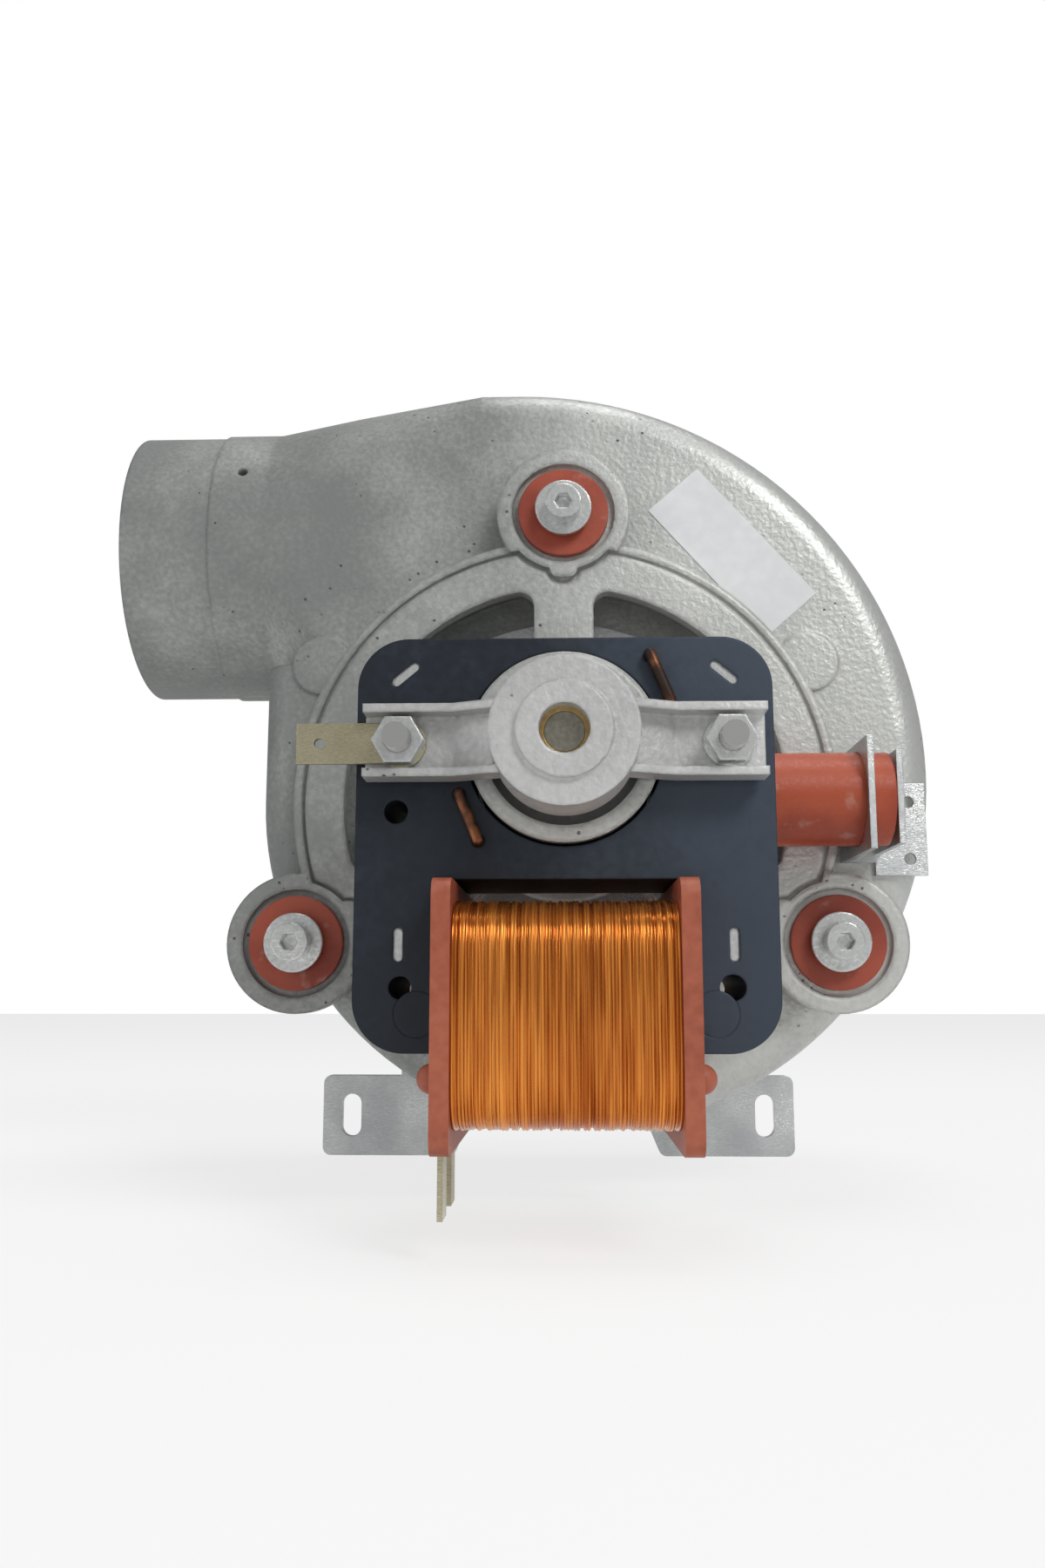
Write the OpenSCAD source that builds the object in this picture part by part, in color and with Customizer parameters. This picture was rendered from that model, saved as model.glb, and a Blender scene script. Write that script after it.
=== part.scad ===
// Flue-gas combustion fan for a wall-hung boiler: die-cast scroll, shaded-pole motor on a bushed carrier.
// Frame: X to the right seen from the motor side, Z up, -Y towards the motor.
// "Depth" is the distance in front of the mounting bracket's rear face, so depth d lies at y = -d.

/* [Scroll housing] */
// Radius of the left-hand arc, where the scroll starts
volute_r = 66; // [64:0.5:80]
// How much the second arc is larger than the first
volute_step_b = 5; // [3:0.5:7]
// How much the third arc is larger than the second
volute_step_c = 13; // [8:0.5:16]
// Distance from the shaft to the left wall
left_wall_x = 62.5; // [62:0.5:76]
// Distance from the shaft to the bottom of the scroll
bottom_z = 64; // [63:0.5:78]
// Wall of the casting
casting_wall = 2.5; // [2:0.1:3.2]
// Outside radius of the shoulder between face and side
shoulder_r = 7; // [5:0.5:9]
// Outside radius of the neck before the spigot
neck_r = 30.5; // [27:0.5:36]
// Step from the neck down to the spigot
spigot_step = 0.5; // [0.3:0.1:1]
// Length of the spigot that the flue pipe goes over
spigot_l = 19; // [15:0.5:23]
// Length of the round neck
neck_l = 11.5; // [8:0.5:16]
// Length over which the square scroll turns into the round neck
blend_l = 19; // [15:0.5:24]
// Radius of the round bosses on the face
face_boss_r = 6.2; // [5:0.2:7]

/* [Rear closure] */
// Thickness of the mounting bracket
bracket_t = 2; // [1.6:0.1:2.5]
// Thickness of the back plate
back_plate_t = 1.5; // [1:0.1:2]
// Thickness of the gasket
gasket_t = 1; // [0.8:0.1:1.5]
// Radius of the inlet
inlet_r = 27; // [24:0.5:30]
// Distance between the two slots of the mounting bracket
slot_pitch = 100; // [96:0.5:110]
// Height of the slot centres below the shaft
slot_drop = 66.5; // [66:0.5:80]
// Overall length of a slot
slot_l = 10; // [8:0.5:12]
// Width of a slot
slot_w = 4.6; // [4:0.1:5.5]

/* [Impeller] */
// Radius of the impeller
impeller_r = 50; // [42:0.5:54]
// Width of the blades along the shaft
blade_w = 32; // [26:0.5:33]
// Number of blades
blade_count = 14; // [8:1:18]
// Radius of the blades' inner edge
blade_inner_r = 30; // [29:0.5:33]
// Thickness of the impeller's sheet
impeller_t = 1.2; // [0.8:0.1:1.5]

/* [Motor carrier] */
// Outside radius of the carrier ring
carrier_r = 54; // [53:0.5:58]
// Radius of the carrier's windows
window_r = 44; // [40:0.5:46]
// Thickness of the carrier plate
carrier_t = 3.5; // [3:0.1:4.5]
// Gap between scroll face and carrier ring
carrier_gap = 0.8; // [0.5:0.1:1.5]
// Radius of the circle through the three bushes
bush_circle_r = 59.5; // [58.5:0.5:64]
// Angle of the two lower bushes below the horizontal
bush_drop = 28; // [24:1:32]
// Radius of the pads that hold the bushes
pad_r = 13.6; // [13:0.1:15]
// Outside radius of a bush's flanges
bush_r = 9.2; // [8.6:0.1:9.6]
// Width of the carrier's spokes
spoke_w = 12; // [9:0.5:14]

/* [Motor] */
// Width of the stator stack across the legs
stator_w = 65; // [64:0.5:78]
// Thickness of the stator stack
stack_t = 28; // [22:0.5:34]
// Height of the stator above the shaft
stator_top = 17.6; // [17.5:0.1:20]
// Distance from shaft to the stator's lower edge
stator_bottom = 46.8; // [45:0.2:50]
// Radius of the rotor
rotor_r = 15; // [13:0.1:15]
// Air gap between rotor and stator
air_gap = 0.5; // [0.4:0.1:1]
// Radius of the shaft
shaft_r = 3; // [2.5:0.1:3.2]
// Distance from carrier face to the back of the stator
motor_stand = 28; // [26:0.5:34]
// Distance of the studs from the shaft
stud_x = 25.2; // [24.5:0.1:27]
// Radius of the bearing housings
cap_r = 11.2; // [10.5:0.1:12]
// Height of the bearing housing in front of the stator
cap_h = 15.5; // [14.5:0.5:18]

/* [Coil] */
// Length of the winding
winding_l = 33.2; // [30:0.2:36]
// Depth of wire wound over the former
winding_t = 10; // [8:0.2:10.4]
// Thickness of the former's end flanges
flange_t = 2.8; // [2:0.1:3.2]

/* [Sleeve] */
// Outside radius of the silicone sleeve
sleeve_r = 8.8; // [7.5:0.1:9.2]
// Thickness of the bent steel bracket
sleeve_steel_t = 1.2; // [1:0.1:1.6]

/* [Hidden] */
$fn = 96;

// Clearances
running_gap = 0.03;
seat_gap = 0.1;
pass_gap = 0.3;
cut = 1;

// Depth stations of the housing
plate_d = bracket_t;
gasket_d = plate_d + back_plate_t;
scroll_d = gasket_d + gasket_t;
face_d = scroll_d + 2 * neck_r;
outlet_d = scroll_d + neck_r;

// Plan of the scroll: three quarter arcs, each tangent to the next
arc_a = [volute_r - left_wall_x, volute_r - bottom_z];
arc_b = [arc_a[0], arc_a[1] + volute_step_b];
arc_c = [arc_b[0] - volute_step_c, arc_b[1]];
arc_b_r = volute_r + volute_step_b;
arc_c_r = arc_b_r + volute_step_c;
scroll_top = arc_c[1] + arc_c_r;
outlet_z = scroll_top - neck_r;
blend_x = -left_wall_x - 1.5 + blend_l;
neck_x = blend_x - blend_l;
top_x = arc_c[0] - 8;
duct_round = 20;
spigot_x = neck_x - neck_l;
outlet_x = spigot_x - spigot_l;
spigot_r = neck_r - spigot_step;
bore_r = spigot_r - casting_wall;

// Cup in the scroll's face, in which the cooling fan turns
cup_r = 47.5;
cup_floor_d = face_d - 9.5;
cup_back_d = cup_floor_d - casting_wall;

// Carrier and bushes
carrier_back_d = face_d + 3;
carrier_d = carrier_back_d + carrier_t;
pad_proud = 1;
pad_d = carrier_d + pad_proud;
pad_hole_r = 7.4;
pad_recess_r = bush_r + 1.3;
pad_recess = 1.5;
bush_flange_t = 1.7;
bush_angles = [90, 180 + bush_drop, 360 - bush_drop];
boss_top_d = carrier_back_d - bush_flange_t;
bush_sleeve_r = 3.1;
bolt_r = 2;
bush_washer_r = 5.7;
bush_washer_t = 1;
bush_sleeve_top = pad_d + 2;
boss_r = 8;

// Motor stations
stator_back_d = carrier_d + motor_stand;
stator_d = stator_back_d + stack_t;
stator_mid_d = stator_back_d + stack_t / 2;
cap_d = stator_d + cap_h;
stud_r = 2;
stud_hole_r = stud_r + 0.15;
arm_h = 11.2;
arm_rim = 1.3;
arm_floor_t = 2;
arm_lift = 1.5;
arm_floor_d = stator_d + arm_lift + arm_floor_t;
tab_t = 0.8;
nut_t = 3.2;
nut_r = 4.04;
stator_bore_r = rotor_r + air_gap;

// Coil section
core_h = 11.8;
core_z = -stator_bottom + core_h / 2;
window_half = winding_l / 2 + flange_t + 0.5;
former_t = 1.2;
former_gap = 0.1;
former_z = core_h / 2 + former_gap + former_t;
former_d = stack_t / 2 + former_gap + former_t;
winding_z = former_z + winding_t;
winding_d = former_d + winding_t;
flange_over = 2.6;

// Impeller stations
disc_d = cup_back_d - 3.5;
blade_d = disc_d - impeller_t;
shroud_d = blade_d - blade_w;

function polar(r, a) = [r * cos(a), r * sin(a)];

// Extrudes an X-Z profile from depth d0 to depth d1
module slab(d0, d1) {
    translate([0, -d0, 0])
        rotate([90, 0, 0])
            linear_extrude(d1 - d0)
                children();
}

// Round bar along the depth at (x, z)
module post(x, z, d0, d1, r) {
    translate([x, -d0, z])
        rotate([90, 0, 0])
            cylinder(h = d1 - d0, r = r);
}

// Round tube along the depth at (x, z)
module pipe(x, z, d0, d1, ro, ri) {
    difference() {
        post(x, z, d0, d1, ro);
        post(x, z, d0 - cut, d1 + cut, ri);
    }
}

// Turns a (radius, depth) profile about the shaft direction through (x, z)
module turned(x = 0, z = 0, angle = 360, start = 0) {
    translate([x, 0, z])
        rotate([90, 0, 0])
            rotate([0, 0, start])
                rotate_extrude(angle = angle)
                    children();
}

// Box between two corners given as (x, depth, z)
module block(a, b) {
    translate([a[0], -b[1], a[2]])
        cube([b[0] - a[0], b[1] - a[1], b[2] - a[2]]);
}

// Plan of the scroll, moved inwards by "inset"
module scroll_plan(inset) {
    difference() {
        translate(arc_a) circle(volute_r - inset);
        translate([arc_a[0], arc_a[1] - 2 * volute_r]) square(4 * volute_r);
        translate([arc_a[0] - 2 * volute_r, arc_a[1]]) square(4 * volute_r);
    }
    difference() {
        translate(arc_b) circle(arc_b_r - inset);
        translate([arc_b[0] - 2 * arc_b_r, arc_b[1] - 2 * arc_b_r]) square([2 * arc_b_r, 4 * arc_b_r]);
        translate([arc_b[0] - 2 * arc_b_r, arc_b[1]]) square(4 * arc_b_r);
    }
    difference() {
        translate(arc_c) circle(arc_c_r - inset);
        translate([arc_c[0] - 2 * arc_c_r, arc_c[1] - 2 * arc_c_r]) square([2 * arc_c_r, 4 * arc_c_r]);
        translate([arc_c[0] - 2 * arc_c_r, arc_c[1] - 4 * arc_c_r]) square(4 * arc_c_r);
    }
    neck_bottom = outlet_z - neck_r - inset;
    translate([inset - left_wall_x, arc_a[1]])
        square([arc_a[0] + left_wall_x - inset, neck_bottom - arc_a[1]]);
    translate([blend_x + inset, arc_a[1]])
        square([arc_c[0] - blend_x - inset, scroll_top - inset - arc_a[1]]);
    translate([arc_c[0], arc_a[1]])
        square([arc_a[0] - arc_c[0], arc_b[1] - arc_a[1]]);
}

// Section through the scroll's outer part: (distance outwards, depth), rounded at the shoulder
module shoulder_section(outer, front, round) {
    square([outer, front - round]);
    square([outer - round, front]);
    translate([outer - round, front - round]) circle(round);
}

module shoulder_cut(back) {
    translate([-cut, -cut]) square([4 * volute_r, back + cut]);
}

// Solid of the scroll, moved inwards by "inset", between two depths
module scroll_body(inset, back, front) {
    round = shoulder_r - inset;
    centres = [arc_a, arc_b, arc_c];
    radii = [volute_r, arc_b_r, arc_c_r];
    for (i = [0:2])
        turned(centres[i][0], centres[i][1], 90, 180 + 90 * i)
            difference() {
                intersection() {
                    shoulder_section(radii[i] - inset, front, round);
                    square([radii[i], front]);
                }
                shoulder_cut(back);
            }
    // Straight left wall, up to the neck's lower edge
    translate([arc_a[0], 0, arc_a[1]])
        linear_extrude(outlet_z - neck_r - inset - arc_a[1])
            rotate(180)
                difference() {
                    shoulder_section(volute_r - inset, front, round);
                    shoulder_cut(back);
                }
    block([blend_x + inset, back, arc_a[1]], [arc_c[0], front, outlet_z]);
    // Straight top from the neck to the third arc
    translate([top_x, 0, arc_a[1]])
        rotate([90, 0, 90])
            linear_extrude(arc_c[0] - top_x)
                rotate(90)
                    difference() {
                        shoulder_section(scroll_top - arc_a[1] - inset, front, round);
                        shoulder_cut(back);
                    }
    block([arc_c[0], back, arc_a[1]], [arc_a[0], front, arc_b[1]]);
}

// Section of the duct at x, with its front upper corner rounded
module duct_section(x, r, round) {
    translate([x, -outlet_d, outlet_z])
        rotate([90, 0, 90])
            linear_extrude(cut) {
                translate([-r, -r]) square([2 * r, 2 * r - round]);
                translate([round - r, -r]) square([2 * r - round, 2 * r]);
                translate([round - r, r - round]) circle(round, $fn = 48);
            }
}

// Duct between the square scroll and the round neck
module neck_blend(inset) {
    r = neck_r - inset;
    hull() {
        duct_section(top_x, r, shoulder_r - inset);
        duct_section(blend_x, r, duct_round - inset);
    }
    hull() {
        duct_section(blend_x, r, duct_round - inset);
        translate([neck_x, -outlet_d, outlet_z])
            rotate([0, 90, 0])
                cylinder(h = cut, r = r, $fn = 48);
    }
}

// Places of the screws that hold the back plate, all the same distance inside the outline
screw_inset = 5.2;
screw_r = 1.6;
screw_boss_r = 4;
screw_boss_l = 15;
screw_head_r = 3.1;
screw_head_t = 1.6;
screw_grip = 9;
screw_spots = [
    for (a = [188, 246]) arc_a + polar(volute_r - screw_inset, a),
    for (a = [292, 345]) arc_b + polar(arc_b_r - screw_inset, a),
    for (a = [30, 68]) arc_c + polar(arc_c_r - screw_inset, a),
    [blend_x + screw_inset, scroll_top - screw_inset]
];

module at_screws() {
    for (p = screw_spots)
        translate([p[0], 0, p[1]])
            children();
}

module at_bushes() {
    for (a = bush_angles)
        translate([bush_circle_r * cos(a), 0, bush_circle_r * sin(a)])
            children();
}

tap_r = 1.1;
tap_x = -69;
tap_tilt = 25;
face_boss_t = 0.7;
face_boss_x = 50;
face_boss_z = 29.6;
seal_r = 7;
cast_boss_base_d = 45;

module scroll_housing() {
    color("silver")
        difference() {
            union() {
                difference() {
                    union() {
                        scroll_body(0, scroll_d, face_d);
                        neck_blend(0);
                        translate([spigot_x, -outlet_d, outlet_z])
                            rotate([0, 90, 0])
                                cylinder(h = neck_x + cut - spigot_x, r = neck_r);
                        translate([outlet_x, -outlet_d, outlet_z])
                            rotate([0, 90, 0])
                                cylinder(h = spigot_x + cut - outlet_x, r = spigot_r);
                    }
                    scroll_body(casting_wall, scroll_d - cut, face_d - casting_wall);
                    neck_blend(casting_wall);
                    translate([outlet_x - cut, -outlet_d, outlet_z])
                        rotate([0, 90, 0])
                            cylinder(h = neck_x - outlet_x + 2 * cut, r = bore_r);
                }
                post(0, 0, cup_back_d, face_d - casting_wall / 2, cup_r + casting_wall);
                at_screws() post(0, 0, scroll_d, scroll_d + screw_boss_l, screw_boss_r);
                at_bushes() post(0, 0, cast_boss_base_d, boss_top_d, boss_r);
                for (side = [-1, 1])
                    post(side * face_boss_x, face_boss_z, face_d - cut, face_d + face_boss_t, face_boss_r);
            }
            post(0, 0, cup_floor_d, face_d + cut, cup_r);
            post(0, 0, cup_back_d - cut, cup_floor_d + cut, seal_r);
            at_screws() post(0, 0, scroll_d - cut, scroll_d + screw_boss_l - screw_boss_r, screw_r);
            at_bushes() post(0, 0, boss_top_d - screw_boss_l, boss_top_d + cut, bolt_r);
            for (z = clip_rivet_z)
                post(clip_rivet_x, z, face_d - casting_wall - cut, face_d + cut, clip_rivet_r);
            translate([tap_x, -outlet_d, outlet_z])
                rotate([90 - tap_tilt, 0, 0])
                    cylinder(h = 2 * neck_r, r = tap_r);
        }
}

rear_inset = 0.4;

module back_gasket() {
    color("dimgray")
        difference() {
            slab(gasket_d, scroll_d) scroll_plan(rear_inset);
            slab(gasket_d - cut, scroll_d + cut) scroll_plan(casting_wall + screw_boss_r + screw_r);
            at_screws() post(0, 0, gasket_d - cut, scroll_d + cut, screw_r + pass_gap);
        }
}

inlet_lip = shroud_d - impeller_t - gasket_d - 1;

rivet_r = 2;
rivet_head_r = 3.4;
rivet_head_t = 1.2;
rivet_x = [-16, 12];
rivet_z = -46;

module back_plate() {
    color("lightsteelblue")
        difference() {
            union() {
                slab(plate_d, gasket_d) scroll_plan(rear_inset);
                post(0, 0, 0, gasket_d + inlet_lip, inlet_r + back_plate_t);
            }
            post(0, 0, -cut, gasket_d + inlet_lip + cut, inlet_r);
            at_screws() post(0, 0, plate_d - cut, gasket_d + cut, screw_r + pass_gap);
            for (x = rivet_x) post(x, rivet_z, plate_d - cut, gasket_d + cut, rivet_r);
        }
}

module back_plate_screws() {
    color("gainsboro")
        at_screws() {
            post(0, 0, plate_d - screw_head_t, plate_d, screw_head_r);
            post(0, 0, plate_d, scroll_d + screw_grip, screw_r);
        }
}

bracket_x = -2.2;
ear_side = 7;
ear_up = 9.5;
ear_inner = 32;
ear_slope = 8;
bar_half = 38;
bar_top = -40;
ear_round = 2;

module bracket_plan() {
    bottom = -slot_drop - ear_up;
    top = -slot_drop + ear_up;
    outer = slot_pitch / 2 + ear_side;
    offset(r = ear_round)
        offset(delta = -ear_round) {
            for (side = [0, 1])
                mirror([side, 0])
                    polygon([[outer, bottom], [outer, top], [bar_half - ear_slope, top],
                        [outer - ear_inner - ear_slope, top], [outer - ear_inner, bottom]]);
            translate([-bar_half, -slot_drop + ear_round]) square([2 * bar_half, slot_drop - ear_round + bar_top]);
        }
}

module mounting_bracket() {
    color("darkgray")
        difference() {
            slab(0, bracket_t) translate([bracket_x, 0]) bracket_plan();
            for (side = [-1, 1])
                for (end = [-1, 1])
                    post(bracket_x + side * slot_pitch / 2, end * (slot_l - slot_w) / 2 - slot_drop,
                        -cut, bracket_t + cut, slot_w / 2);
            for (side = [-1, 1])
                block([bracket_x + side * slot_pitch / 2 - slot_w / 2, -cut, -slot_drop - (slot_l - slot_w) / 2],
                    [bracket_x + side * slot_pitch / 2 + slot_w / 2, bracket_t + cut,
                        -slot_drop + (slot_l - slot_w) / 2]);
            at_screws() post(0, 0, -cut, bracket_t + cut, screw_head_r + 3 * pass_gap);
            for (x = rivet_x) post(x, rivet_z, -cut, bracket_t + cut, rivet_r);
        }
}

module bracket_rivets() {
    color("gainsboro")
        for (x = rivet_x) {
            post(x, rivet_z, 0, gasket_d, rivet_r);
            post(x, rivet_z, gasket_d, gasket_d + rivet_head_t, rivet_head_r);
        }
}

// Impeller
hub_r = 7;
hub_l = 14;
nut_af_r = 5.2;
impeller_nut_t = 4;
shroud_inner_r = inlet_r + back_plate_t + 1;
blade_r = 32;
blade_c = 44;
blade_edge = impeller_r - 1;
function blade_angle(r) = acos((blade_c * blade_c + blade_r * blade_r - r * r) / (2 * blade_c * blade_r));

module impeller_disc() {
    color("silver")
        difference() {
            post(0, 0, blade_d, disc_d, impeller_r);
            post(0, 0, blade_d - cut, disc_d + cut, shaft_r);
        }
}

module impeller_blades() {
    color("silver")
        for (i = [0:blade_count - 1])
            rotate([0, 360 / blade_count * i, 0])
                turned(blade_c, 0, blade_angle(blade_edge) - blade_angle(blade_inner_r),
                    180 - blade_angle(blade_edge))
                    translate([blade_r - impeller_t / 2, shroud_d])
                        square([impeller_t, blade_w]);
}

module impeller_shroud() {
    color("silver")
        pipe(0, 0, shroud_d - impeller_t, shroud_d, impeller_r, shroud_inner_r);
}

module impeller_hub() {
    color("goldenrod")
        pipe(0, 0, blade_d - hub_l, blade_d, hub_r, shaft_r);
}

module impeller_nut() {
    color("gainsboro")
        difference() {
            slab(blade_d - hub_l - impeller_nut_t, blade_d - hub_l) circle(nut_af_r, $fn = 6);
            post(0, 0, blade_d - hub_l - impeller_nut_t - cut, blade_d - hub_l + cut, shaft_r);
        }
}

shaft_back_d = blade_d - hub_l - impeller_nut_t - 2;
shaft_front_d = cap_d - 3;

module shaft() {
    color("lightgray") post(0, 0, shaft_back_d, shaft_front_d, shaft_r);
}

module shaft_seal() {
    color("black")
        difference() {
            union() {
                post(0, 0, cup_back_d, cup_floor_d, seal_r);
                post(0, 0, cup_floor_d, cup_floor_d + cut, seal_r + 2);
            }
            post(0, 0, cup_back_d - cut, cup_floor_d + 2 * cut, shaft_r + pass_gap);
        }
}

// Cooling fan between scroll and carrier
fan_r = 40;
fan_hub_r = 8;
fan_blades = 8;
fan_disc_d = cup_floor_d + 2;
fan_disc_t = 1.2;
fan_front_d = carrier_back_d - 1.5;

module cooling_fan() {
    color("gray")
        difference() {
            union() {
                post(0, 0, fan_disc_d, fan_disc_d + fan_disc_t, fan_r);
                post(0, 0, fan_disc_d, fan_front_d, fan_hub_r);
                for (i = [0:fan_blades - 1])
                    rotate([0, 360 / fan_blades * i, 0])
                        block([fan_hub_r - cut, fan_disc_d, -fan_disc_t / 2],
                            [fan_r - cut, fan_front_d, fan_disc_t / 2]);
            }
            post(0, 0, fan_disc_d - cut, fan_front_d + cut, shaft_r);
        }
}

// Motor carrier
groove_w = 0.7;
groove_t = 0.8;
groove_r = 52;
scallop_r = 12.4;
tongue_r = 3.3;
tongue_c = 11.2;
window_corner = 3;
carrier_hub_r = 20;
carrier_bar_r = 6.5;
skirt_t = 3;
shaft_pass_r = 8;
stud_boss_r = 5;
stud_boss_l = 5;
pad_web = 9.5;

module carrier_windows() {
    offset(r = window_corner)
        offset(delta = -window_corner)
            difference() {
                circle(window_r);
                circle(carrier_hub_r);
                for (a = bush_angles)
                    rotate(a) translate([0, -spoke_w / 2]) square([carrier_r, spoke_w]);
                for (side = [-1, 1]) translate([side * stud_x, 0]) circle(carrier_bar_r);
                translate([-stud_x, -carrier_bar_r]) square([2 * stud_x, 2 * carrier_bar_r]);
            }
}

// Face inside the groove, "out" moves its edge outwards
module groove_plan(out) {
    difference() {
        circle(groove_r + out);
        for (a = bush_angles)
            rotate(a) {
                translate([bush_circle_r, 0]) circle(scallop_r - out);
                translate([bush_circle_r - tongue_c, 0]) circle(tongue_r - out);
            }
    }
}

module motor_carrier() {
    color("silver")
        difference() {
            union() {
                post(0, 0, carrier_back_d, carrier_d, carrier_r);
                pipe(0, 0, face_d + carrier_gap, carrier_back_d + cut, carrier_r, carrier_r - skirt_t);
                difference() {
                    at_bushes() post(0, 0, carrier_back_d, pad_d, pad_r);
                    slab(carrier_d, pad_d + cut) groove_plan(0);
                }
                for (a = bush_angles)
                    slab(carrier_back_d, carrier_d)
                        rotate(a) translate([0, -pad_web]) square([bush_circle_r, 2 * pad_web]);
                for (side = [-1, 1])
                    post(side * stud_x, 0, carrier_back_d, carrier_d + stud_boss_l, stud_boss_r);
            }
            slab(carrier_back_d - cut, carrier_d + cut) carrier_windows();
            slab(carrier_d - groove_t, carrier_d + 2 * cut)
                difference() {
                    groove_plan(groove_w / 2);
                    groove_plan(-groove_w / 2);
                }
            at_bushes() {
                post(0, 0, face_d, pad_d + cut, pad_hole_r);
                post(0, 0, pad_d - pad_recess, pad_d + cut, pad_recess_r);
                post(0, 0, face_d, carrier_back_d, bush_r + pass_gap);
            }
            post(0, 0, carrier_back_d - cut, carrier_d + cut, shaft_pass_r);
            for (side = [-1, 1])
                post(side * stud_x, 0, carrier_back_d - cut, carrier_d + stud_boss_l + cut, stud_r);
        }
}

module silicone_bushes() {
    color("firebrick")
        at_bushes()
            difference() {
                union() {
                    post(0, 0, boss_top_d, carrier_back_d, bush_r);
                    post(0, 0, boss_top_d, pad_d, pad_hole_r);
                    post(0, 0, pad_d - pad_recess, pad_d - pad_recess + bush_flange_t, bush_r);
                }
                post(0, 0, boss_top_d - cut, pad_d + 2 * cut, bush_sleeve_r);
            }
}

module bush_sleeves() {
    color("gainsboro")
        at_bushes() pipe(0, 0, boss_top_d, bush_sleeve_top, bush_sleeve_r, bolt_r);
}

module bush_washers() {
    color("gainsboro")
        at_bushes()
            pipe(0, 0, bush_sleeve_top, bush_sleeve_top + bush_washer_t, bush_washer_r, bolt_r);
}

bolt_head_r = 3.6;
bolt_head_t = 3.6;
bolt_socket_r = 1.75;
bolt_socket_t = 2.2;
bolt_grip = 9;

module bush_bolts() {
    seat = bush_sleeve_top + bush_washer_t;
    color("gainsboro")
        at_bushes()
            difference() {
                union() {
                    post(0, 0, boss_top_d - bolt_grip, seat, bolt_r);
                    post(0, 0, seat, seat + bolt_head_t, bolt_head_r);
                }
                slab(seat + bolt_head_t - bolt_socket_t, seat + bolt_head_t + cut)
                    circle(bolt_socket_r, $fn = 6);
            }
}

// Stator
stator_half = stator_w / 2;
stator_corner = 8;
core_window_top = -20.5;
tenon_r = 3.5;
tenon_x = 22.6;
clinch_l = 5.2;
clinch_w = 1.5;
clinch_spots = [[25, 11.9, -40], [-25, 11.9, 40], [-25.6, -30.5, 90], [25.6, -30.5, 90]];
rivet_spots = [[-26.2, -10, 1.85], [-25.2, -37, 1.75], [25.2, -37, 2]];
shade_r = 0.9;
shade_hole_r = shade_r + 0.06;
shade_inner = [13.4, 14.6];
shade_outer = [16.4, 7.4];

module coil_core_plan(gap) {
    translate([-window_half + gap, core_z - core_h / 2]) square([2 * (window_half - gap), core_h]);
    for (side = [-1, 1]) {
        translate([side * tenon_x, core_z]) circle(tenon_r);
        translate([side * (window_half + tenon_x) / 2 - cut, core_z - tenon_r / 2]) square([2 * cut, tenon_r]);
    }
}

module clinch_plan() {
    for (c = clinch_spots)
        translate([c[0], c[1]])
            rotate(c[2]) {
                square([clinch_l - clinch_w, clinch_w], center = true);
                for (end = [-1, 1]) translate([end * (clinch_l - clinch_w) / 2, 0]) circle(clinch_w / 2);
            }
}

module stator_core() {
    color("midnightblue")
        difference() {
            slab(stator_back_d, stator_d) {
                translate([-stator_half, -stator_bottom + stator_corner])
                    square([stator_w, stator_bottom + stator_top - 2 * stator_corner]);
                translate([-stator_half + stator_corner, -stator_bottom])
                    square([stator_w - 2 * stator_corner, stator_bottom + stator_top]);
                for (x = [-stator_half + stator_corner, stator_half - stator_corner])
                    for (z = [-stator_bottom + stator_corner, stator_top - stator_corner])
                        translate([x, z]) circle(stator_corner);
            }
            slab(stator_back_d - cut, stator_d + cut) {
                translate([-window_half, -stator_bottom - cut])
                    square([2 * window_half, stator_bottom + cut + core_window_top]);
                coil_core_plan(0);
                clinch_plan();
            }
            post(0, 0, stator_back_d - cut, stator_d + cut, stator_bore_r);
            for (side = [-1, 1])
                post(side * stud_x, 0, stator_back_d - cut, stator_d + cut, stud_hole_r);
            for (p = rivet_spots) post(p[0], p[1], stator_back_d - cut, stator_d + cut, p[2]);
            for (side = [-1, 1]) {
                post(side * shade_inner[0], side * shade_inner[1], stator_back_d - cut, stator_d + cut, shade_hole_r);
                post(side * shade_outer[0], side * shade_outer[1], stator_back_d - cut, stator_d + cut, shade_hole_r);
            }
        }
}

module coil_core() {
    color("midnightblue") slab(stator_back_d, stator_d) coil_core_plan(0);
}

module stack_clinches() {
    color("gainsboro") slab(stator_back_d, stator_d - 0.4) clinch_plan();
}

// One closed copper turn through two holes of the stack
module shading_ring(side) {
    top = stator_d + shade_r + 0.6;
    low = stator_back_d - shade_r - 0.6;
    span = shade_outer - shade_inner;
    for (p = [shade_inner, shade_outer]) {
        post(side * p[0], side * p[1], low, top, shade_r);
        for (d = [low, top])
            translate([side * p[0], -d, side * p[1]]) sphere(shade_r);
    }
    for (d = [low, top])
        translate([side * shade_inner[0], -d, side * shade_inner[1]])
            rotate([0, 90 - atan2(side * span[1], side * span[0]), 0])
                cylinder(h = norm(span), r = shade_r);
}

module shading_rings() {
    color("peru")
        for (side = [-1, 1]) shading_ring(side);
}

// Coil: former, wire and terminals around the bar
nose_z = -50;
nose_l = 4;
nose_out = 2.2;
flange_round = 3;
former_corner = 4;
terminal_w = 6.3;
terminal_t = 0.8;
terminal_l = 9;
terminal_d = [116, 130.5];

module coil_block(half_l, half_d, half_z, corner) {
    translate([-half_l, -stator_mid_d, core_z])
        rotate([0, 90, 0])
            linear_extrude(2 * half_l) {
                square([2 * half_z, 2 * (half_d - corner)], center = true);
                square([2 * (half_z - corner), 2 * half_d], center = true);
                for (a = [-1, 1])
                    for (b = [-1, 1])
                        translate([a * (half_z - corner), b * (half_d - corner)]) circle(corner);
            }
}

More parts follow.
